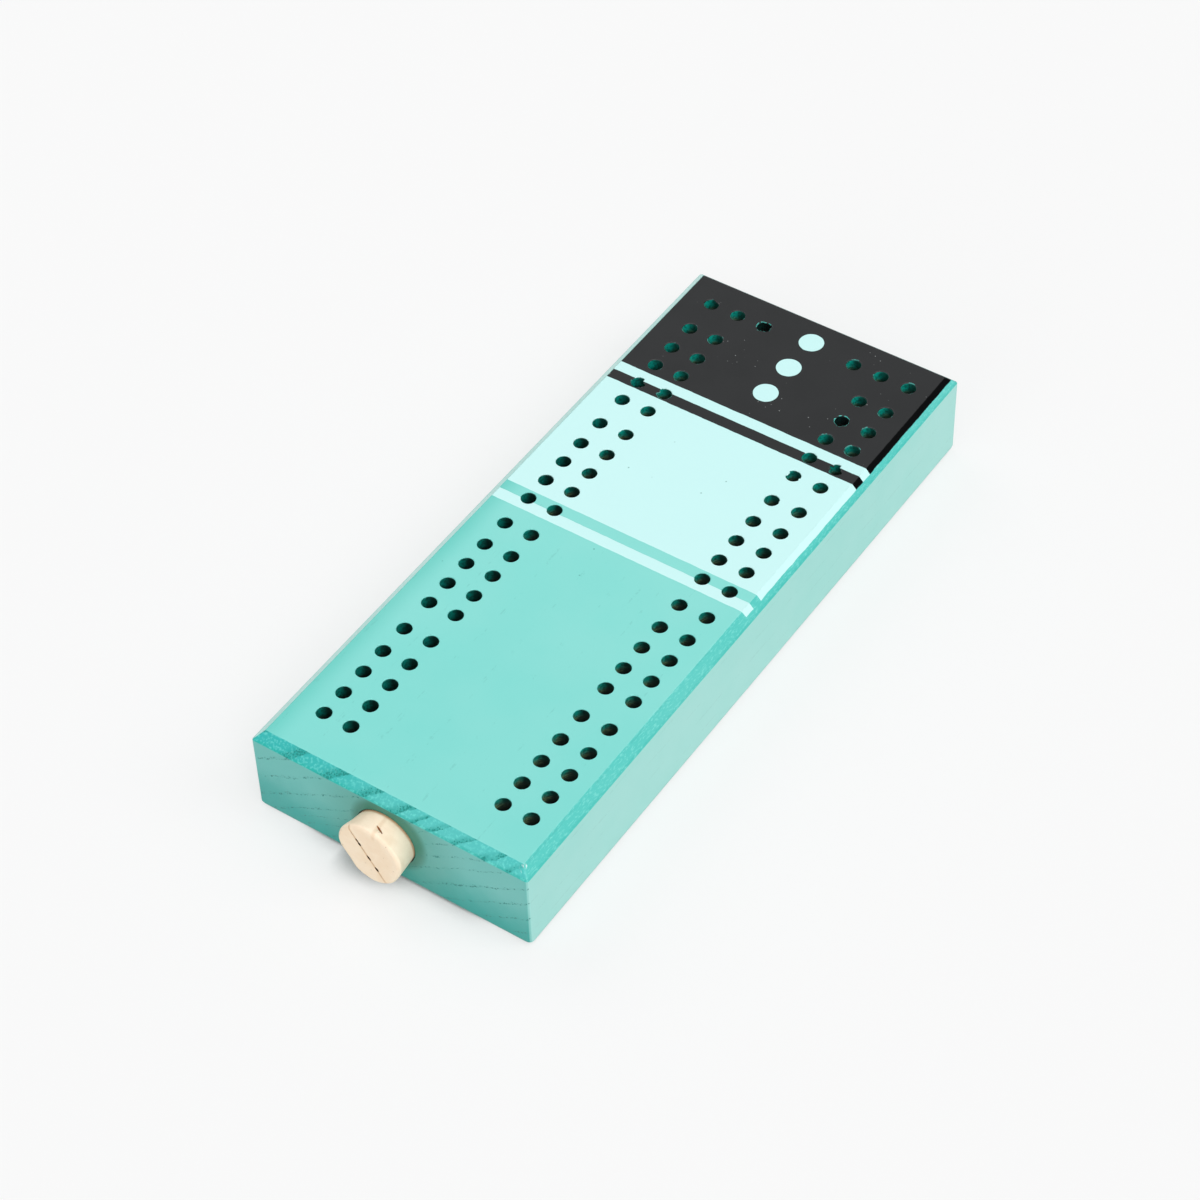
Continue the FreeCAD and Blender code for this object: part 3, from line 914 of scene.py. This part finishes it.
# The cork's side is painted paler and warmer than its face, a painted light from the lamps
CORK_SIDE_LIT = (0.985, 0.830, 0.640)
CORK_WARM = (0.830, 0.630, 0.430)
CORK_PORE = (0.360, 0.190, 0.090)
CORK_BY_SPLIT = (0.620, 0.400, 0.220)
CORK_STREAK = (0.700, 0.470, 0.270)
CORK_GRIPPED = (0.560, 0.320, 0.130)
CORK_RUBBED = (0.330, 0.170, 0.080)
BARK_PORE = (0.160, 0.070, 0.030)
SPLIT_LIP = (0.620, 0.420, 0.240)
# Painted shade inside the split
SPLIT_SHADE = (0.022, 0.009, 0.004)
SPLIT_RUST_DARK = (0.300, 0.110, 0.040)
SPLIT_RUST = (0.500, 0.250, 0.100)

# The split's stretches and the pit in the side: both ends as across, out from the block and up
# from the axis, then half the width along the axis and across it
SPLIT_AND_PIT = (
    ((-6.10, 8.3, 8.08), (-3.83, 8.3, 4.87), 0.14, 0.11),
    ((-3.95, 8.3, 5.05), (-3.20, 8.3, 3.95), 1.10, 0.40),
    ((-3.25, 8.3, 4.02), (-2.45, 8.3, 2.85), 1.30, 0.48),
    ((-2.65, 8.3, 3.15), (-0.15, 8.3, -0.58), 0.14, 0.12),
    ((-0.40, 8.3, -0.20), (0.55, 8.3, -1.60), 1.20, 0.44),
    ((0.55, 8.3, -1.60), (2.14, 8.3, -3.98), 0.14, 0.11),
    ((2.05, 8.3, -3.85), (2.93, 8.3, -4.95), 1.20, 0.46),
    ((2.93, 8.3, -4.87), (4.40, 8.3, -7.42), 0.14, 0.10),
    ((1.45, 4.76, 10.54), (3.75, 5.84, 9.93), 0.30, 0.55),
)
SPLIT_MIDDLE = (-0.15, -0.58)
SPLIT_SLOPE = (0.555, -0.832)
# Half of each sliver's length, as a share of its stretch, so that the slivers run together
SLIVER_HALF = 0.64
SPLIT_JAG = 0.16
JAG_SCALE = 1500.0
# A brown streak on top of the cork: its place across, its lean, and where the lean counts from
STREAK_ACROSS = 2.1
STREAK_LEAN = -0.12
STREAK_START = 123.0

cork_finish, tree, shader, place, facing = new_finish("natural_cork")
at = parts(tree, place)
patch = cloud(tree, place, 0.22, 4.0)
fleck = cloud(tree, place, 2.6, 3.0)
# The side is painted paler and warmer than the face, a painted light from the lamps
lit_side_of_cork = fade(tree, calc(tree, "ABSOLUTE", parts(tree, facing)["Y"]), 0.75, 0.30)
colour = tint(tree, lit_side_of_cork, CORK_PALE, CORK_SIDE_LIT)
colour = tint(tree, fade(tree, patch, 0.35, 0.72, 0.0, 0.45), colour, CORK_WARM)
colour = tint(tree, fade(tree, fleck, 0.60, 0.75, 0.0, 0.35), colour, CORK_WARM)
bark_lines = stretched(tree, place, (1.0, 0.45, 1.0))
pore = fade(tree, from_dots(tree, bark_lines, 0.42), 0.085, 0.04)
colour = tint(tree, times(tree, pore, 0.75), colour, CORK_PORE)

# Brown along the split and in one streak over the top of the side
across = minus(tree, at["X"], CORK_AXIS[0] + SPLIT_MIDDLE[0])
upwards = minus(tree, at["Z"], CORK_AXIS[1] + SPLIT_MIDDLE[1])
off_split = times(tree, upwards, -SPLIT_SLOPE[0])
off_split = plus(tree, times(tree, across, SPLIT_SLOPE[1]), off_split)
by_split = fade(tree, calc(tree, "ABSOLUTE", off_split), 0.55, 0.12, 0.0, 0.7)
by_split = times(tree, by_split, fade(tree, at["Y"], CORK_FACE + 1.2, CORK_FACE + 0.4))
colour = tint(tree, by_split, colour, CORK_BY_SPLIT)
leaning = times(tree, plus(tree, at["Y"], STREAK_START), STREAK_LEAN)
off_streak = minus(tree, minus(tree, across, leaning), STREAK_ACROSS)
streak = fade(tree, calc(tree, "ABSOLUTE", off_streak), 1.0, 0.1, 0.0, 0.35)
streak = times(tree, streak, fade(tree, at["Z"], CORK_AXIS[1] + 8.0, CORK_AXIS[1] + 9.0))
colour = tint(tree, streak, colour, CORK_STREAK)

# Browner where the mouth grips it, and rubbed and more open in the bore
mouth = -BLOCK_LENGTH / 2
gripped = fade(tree, at["Y"], mouth - 0.9, mouth - 0.1, 0.0, 0.75)
colour = tint(tree, gripped, colour, CORK_GRIPPED)
deeper = fade(tree, at["Y"], mouth + 0.5, mouth + 2.5)
rubbed = fade(tree, cloud(tree, place, 0.5, 4.0), 0.50, 0.66, 0.0, 0.45)
colour = tint(tree, times(tree, rubbed, deeper), colour, CORK_RUBBED)
bark_pore = fade(tree, from_dots(tree, bark_lines, 0.75), 0.15, 0.08)
colour = tint(tree, times(tree, bark_pore, deeper, 0.8), colour, BARK_PORE)
relief = times(tree, from_dots(tree, place, 1.3), 0.05)
relief = minus(tree, relief, times(tree, pore, 0.12))
relief = plus(tree, relief, times(tree, fleck, 0.05))
feed(tree, shader, {
    "Base Color": colour,
    "Roughness": fade(tree, patch, 0.3, 0.7, 0.78, 0.92),
    "Normal": relief_on(tree, relief, 1.0, 0.8),
})

split_finish, tree, shader, place, facing = new_finish("split_cork")
at = parts(tree, place)
crumbs = cloud(tree, place, 1.4, 3.0)
rusty = tint(tree, fade(tree, crumbs, 0.35, 0.65), SPLIT_RUST_DARK, SPLIT_RUST)
# From a fifth of a millimetre into the split the cork is painted near black, a painted shade in the crack,
# and deeper still it turns rusty
into_split = fade(tree, at["Y"], CORK_FACE + 0.10, CORK_FACE + 0.20)
colour = tint(tree, into_split, SPLIT_LIP, SPLIT_SHADE)
behind_face = fade(tree, at["Y"], CORK_FACE + 1.4, CORK_FACE + 1.8)
feed(tree, shader, {
    "Base Color": tint(tree, behind_face, colour, rusty),
    "Roughness": 0.9,
    "Specular IOR Level": 0.1,
    "Normal": relief_on(tree, crumbs, 0.2),
})

# The cork's outline from the toe on the axis, up its side and over the rim to the face
seat_end = CORK_LENGTH - CORK_OUT
seat_start = seat_end - CORK_SEAT
flare_out = CORK_FACE_RADIUS - CORK_SEAT_RADIUS
flare = math.atan2(flare_out, CORK_OUT)
cork_outline = [(0.0, 0.0)]
for step in range(TOE_STEPS):
    angle = math.radians(-90.0 + TOE_STEP_ANGLE * step)
    radius = CORK_TOE_RADIUS - CORK_TOE_ROUND * (1.0 - math.cos(angle))
    cork_outline.append((radius, CORK_TOE_ROUND * (1.0 + math.sin(angle))))
cork_outline.append((0.5 * (CORK_TOE_RADIUS + CORK_SEAT_RADIUS), 0.5 * seat_start))
cork_outline.append((CORK_SEAT_RADIUS, seat_start))
cork_outline.append((CORK_SEAT_RADIUS, seat_end))
bulge_out, bulge_up = CORK_BULGE
cork_outline.append((CORK_SEAT_RADIUS + bulge_out * flare_out, seat_end + bulge_up * CORK_OUT))
for step in range(RIM_STEPS + 1):
    angle = -flare + (math.pi / 2 + flare) * step / RIM_STEPS
    radius = CORK_FACE_RADIUS - CORK_RIM_ROUND * (1.0 - math.cos(angle))
    cork_outline.append((radius, CORK_LENGTH - CORK_RIM_ROUND * (1.0 - math.sin(angle))))
for share in FACE_RINGS:
    cork_outline.append((share * (CORK_FACE_RADIUS - CORK_RIM_ROUND), CORK_LENGTH))
cork_outline.append((0.0, CORK_LENGTH))
plain_cork = turned_shape("plain_cork", cork_outline, CORK_SIDES, cork_finish)
cork_toe = Vector((CORK_AXIS[0], CORK_FACE + CORK_LENGTH, CORK_AXIS[1]))
plain_cork.data.transform(Matrix.Translation(cork_toe * MM) @ lay_down)

cut_points = []
cut_turns = []
cut_sizes = []
for start, end, along_axis, across_cut in SPLIT_AND_PIT:
    start, end = (Vector((x, -y, z)) for x, y, z in (start, end))
    middle = 0.5 * (start + end)
    cut_points.append((CORK_AXIS[0] + middle.x, middle.y - BLOCK_LENGTH / 2, CORK_AXIS[1] + middle.z))
    cut_turns += list((end - start).to_track_quat("X", "Z").to_euler())
    cut_sizes += [SLIVER_HALF * (end - start).length, along_axis, across_cut]
cork = mesh_object("cork", cut_points, [])
for name, values in (("lean", cut_turns), ("size", cut_sizes)):
    cork.data.attributes.new(name, "FLOAT_VECTOR", "POINT").data.foreach_set("vector", values)

flats = ["Flat %d " % (number + 1) for number in range(len(CORK_FLATS))]
inputs = [("Cork", "Object"), ("Unevenness", "Float"), ("Seed", "Float")]
inputs += [("Split", "Material"), ("Bark", "Material")]
for flat in flats:
    inputs += [(flat + size, "Float") for size in ("depth", "heading", "narrowness")]
tree, given, keys = new_shape_tree("split_cork", inputs)
where = put(tree, "GeometryNodeInputPosition").outputs[0]
normal = put(tree, "GeometryNodeInputNormal").outputs[0]
rough = crumble(tree, where, given["Seed"], UNEVEN_SCALE, 3.0)
sink = times(tree, fade(tree, rough, 0.3, 0.7), given["Unevenness"], -1.0)
uneven = pushed(tree, shape_of(tree, given["Cork"]), normal, sink)

# Each flat draws the outer part in towards the axis, most at its own heading
at = parts(tree, where)
across = minus(tree, at["X"], CORK_AXIS[0] * MM)
upwards = minus(tree, at["Z"], CORK_AXIS[1] * MM)
round_axis = calc(tree, "ARCTAN2", upwards, across)
sockets = {"Value": at["Y"], "From Min": mouth * MM, "From Max": CORK_FACE * MM}
outward = put(tree, "ShaderNodeMapRange", None, sockets).outputs[0]
worn = 0.0
for flat in flats:
    turned_by = minus(tree, round_axis, given[flat + "heading"])
    drop = minus(tree, calc(tree, "COSINE", turned_by), 1.0)
    bell = calc(tree, "EXPONENT", calc(tree, "DIVIDE", drop, given[flat + "narrowness"]))
    worn = plus(tree, worn, times(tree, bell, given[flat + "depth"]))
worn = times(tree, worn, outward, -1.0 / (CORK_FACE_RADIUS * MM))
spoke = put(tree, "ShaderNodeCombineXYZ", None, {"X": across, "Z": upwards}).outputs[0]
uneven = pushed(tree, uneven, spoke, worn)

# Slivers laid end to end are cut out of the face, and one out of the side
sliver = put(tree, "GeometryNodeMeshIcoSphere", None, {"Radius": MM, "Subdivisions": 3})
sockets = {0: sliver.outputs[0], "Material": given["Split"]}
sliver = put(tree, "GeometryNodeSetMaterial", None, sockets).outputs[0]
lean = stored(tree, "lean", "FLOAT_VECTOR")
size = stored(tree, "size", "FLOAT_VECTOR")
slivers = set_at(tree, given["Geometry"], sliver, Rotation=lean, Scale=size)
ragged = crumble(tree, where, given["Seed"], JAG_SCALE, 2.0)
slivers = pushed(tree, slivers, normal, sway(tree, ragged, SPLIT_JAG * MM))
cut_and_hand_out(tree, uneven, slivers, given["Bark"], crossing=True)

values = {
    "Cork": plain_cork,
    "Unevenness": CORK_UNEVEN * MM,
    "Seed": 5.0,
    "Split": split_finish,
    "Bark": cork_finish,
}
for flat, (depth, heading, narrowness) in zip(flats, CORK_FLATS):
    values[flat + "depth"] = depth * MM
    values[flat + "heading"] = math.radians(heading)
    values[flat + "narrowness"] = narrowness
shaped(cork, tree, keys, values)
bpy.data.objects.remove(plain_cork)
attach(cork, "stopper")
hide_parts("cork_stopper")


# --------------------------------------------------------------------- pegs
# Six turned maple pegs lie loose in the store, three left natural and three stained black.
# Each has a domed head, a groove to grip it by and a tapered tip.
PEG_RADIUS = 2.25125
PEG_LENGTH = 38.1
PEG_SIDES = 32
PEG_DOME = 0.9
PEG_DOME_STEPS = 6
PEG_AXIS_GIRTH = 0.02
PEG_GROOVE_PLACE = 3.2
PEG_GROOVE_WIDTH = 1.0
PEG_GROOVE_DEPTH = 0.3
# The groove's edge is eased this far along the peg and this far in, and its side runs this far
PEG_GROOVE_LIP = 0.12
PEG_GROOVE_EDGE = 0.05
PEG_GROOVE_SIDE = 0.3
PEG_TIP_LENGTH = 4.0
PEG_TIP_TAPER = 0.65
# The tip's rounded end, as in from the tip's radius and up from the end
PEG_TIP_ROUND = ((0.25, 0.0), (0.06, 0.09), (0.0, 0.28))
MAPLE = (0.640, 0.440, 0.260)
MAPLE_DARK = (0.470, 0.290, 0.150)
STAIN = (0.020, 0.018, 0.017)
STAIN_WORN = (0.075, 0.060, 0.050)
HEAD_TO_MOUTH = {
    "natural_peg_1": True,
    "black_peg_1": False,
    "natural_peg_2": False,
    "black_peg_2": True,
    "natural_peg_3": True,
    "black_peg_3": False,
}


def peg_finish(name, light, dark, gloss):
    """Fine straight grain along the peg, with a few darker growth lines and rubbed patches."""
    finish, tree, shader, place, facing = new_finish(name)
    grain = cloud(tree, stretched(tree, place, (1.0, 0.06, 1.0)), 2.4, 4.0)
    patches = fade(tree, cloud(tree, place, 0.15), 0.45, 0.75, 0.0, 0.25)
    amount = plus(tree, fade(tree, grain, 0.40, 0.70, 0.0, 0.75), patches)
    feed(tree, shader, {
        "Base Color": tint(tree, amount, light, dark),
        "Roughness": fade(tree, grain, 0.3, 0.7, gloss, gloss + 0.15),
        "Normal": relief_on(tree, grain, 0.04, 0.8),
    })
    return finish


peg_finishes = {
    "natural_peg": peg_finish("waxed_maple", MAPLE, MAPLE_DARK, 0.42),
    "black_peg": peg_finish("black_stained_maple", STAIN, STAIN_WORN, 0.38),
}

tip_radius = PEG_RADIUS - PEG_TIP_TAPER
groove_radius = PEG_RADIUS - PEG_GROOVE_DEPTH
groove_low = PEG_LENGTH - PEG_GROOVE_PLACE - PEG_GROOVE_WIDTH
groove_high = groove_low + PEG_GROOVE_WIDTH
peg_outline = [(PEG_AXIS_GIRTH, 0.0)]
peg_outline += [(tip_radius - inward, height) for inward, height in PEG_TIP_ROUND]
peg_outline += [
    (PEG_RADIUS - 0.03, PEG_TIP_LENGTH - 0.25),
    (PEG_RADIUS, PEG_TIP_LENGTH + 0.2),
    (PEG_RADIUS, groove_low - PEG_GROOVE_LIP),
    (PEG_RADIUS - PEG_GROOVE_EDGE, groove_low),
    (groove_radius, groove_low + PEG_GROOVE_SIDE),
    (groove_radius, groove_high - PEG_GROOVE_SIDE),
    (PEG_RADIUS - PEG_GROOVE_EDGE, groove_high),
    (PEG_RADIUS, groove_high + PEG_GROOVE_LIP),
    (PEG_RADIUS, PEG_LENGTH - PEG_DOME - 0.1),
]
for step in range(1, PEG_DOME_STEPS + 1):
    angle = math.radians(90.0 * step / PEG_DOME_STEPS)
    radius = max(PEG_RADIUS * math.cos(angle), PEG_AXIS_GIRTH)
    peg_outline.append((radius, PEG_LENGTH - PEG_DOME + PEG_DOME * math.sin(angle)))

tree, given, keys = new_shape_tree("turned_peg", [("Steps round", "Int"), ("Finish", "Material")])
axis = put(tree, "GeometryNodeMeshToCurve", None, {0: given["Geometry"]})
sockets = {"Resolution": given["Steps round"], "Radius": 1.0}
circle = put(tree, "GeometryNodeCurvePrimitiveCircle", None, sockets)
girth = stored(tree, "girth", "FLOAT")
sockets = {"Curve": axis.outputs[0], "Profile Curve": circle.outputs[0], "Scale": girth, "Fill Caps": True}
body = put(tree, "GeometryNodeCurveToMesh", None, sockets)
hand_out(tree, body.outputs[0], given["Finish"])

for peg_name, to_mouth in HEAD_TO_MOUTH.items():
    low, high = (Vector(corner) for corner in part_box(peg_name))
    middle = 0.5 * (low + high)
    places = []
    for radius, height in peg_outline:
        along = high.y - height * MM if to_mouth else low.y + height * MM
        places.append((middle.x, along, middle.z))
    mesh = bpy.data.meshes.new("turned_" + peg_name)
    mesh.from_pydata(places, [(number, number + 1) for number in range(len(places) - 1)], [])
    girths = [radius * MM for radius, height in peg_outline]
    mesh.attributes.new("girth", "FLOAT", "POINT").data.foreach_set("value", girths)
    peg = bpy.data.objects.new("turned_" + peg_name, mesh)
    bpy.context.scene.collection.objects.link(peg)
    kind = peg_name.rsplit("_", 1)[0]
    shaped(peg, tree, keys, {"Steps round": PEG_SIDES, "Finish": peg_finishes[kind]})
    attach(peg, peg_name)
    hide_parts(peg_name)
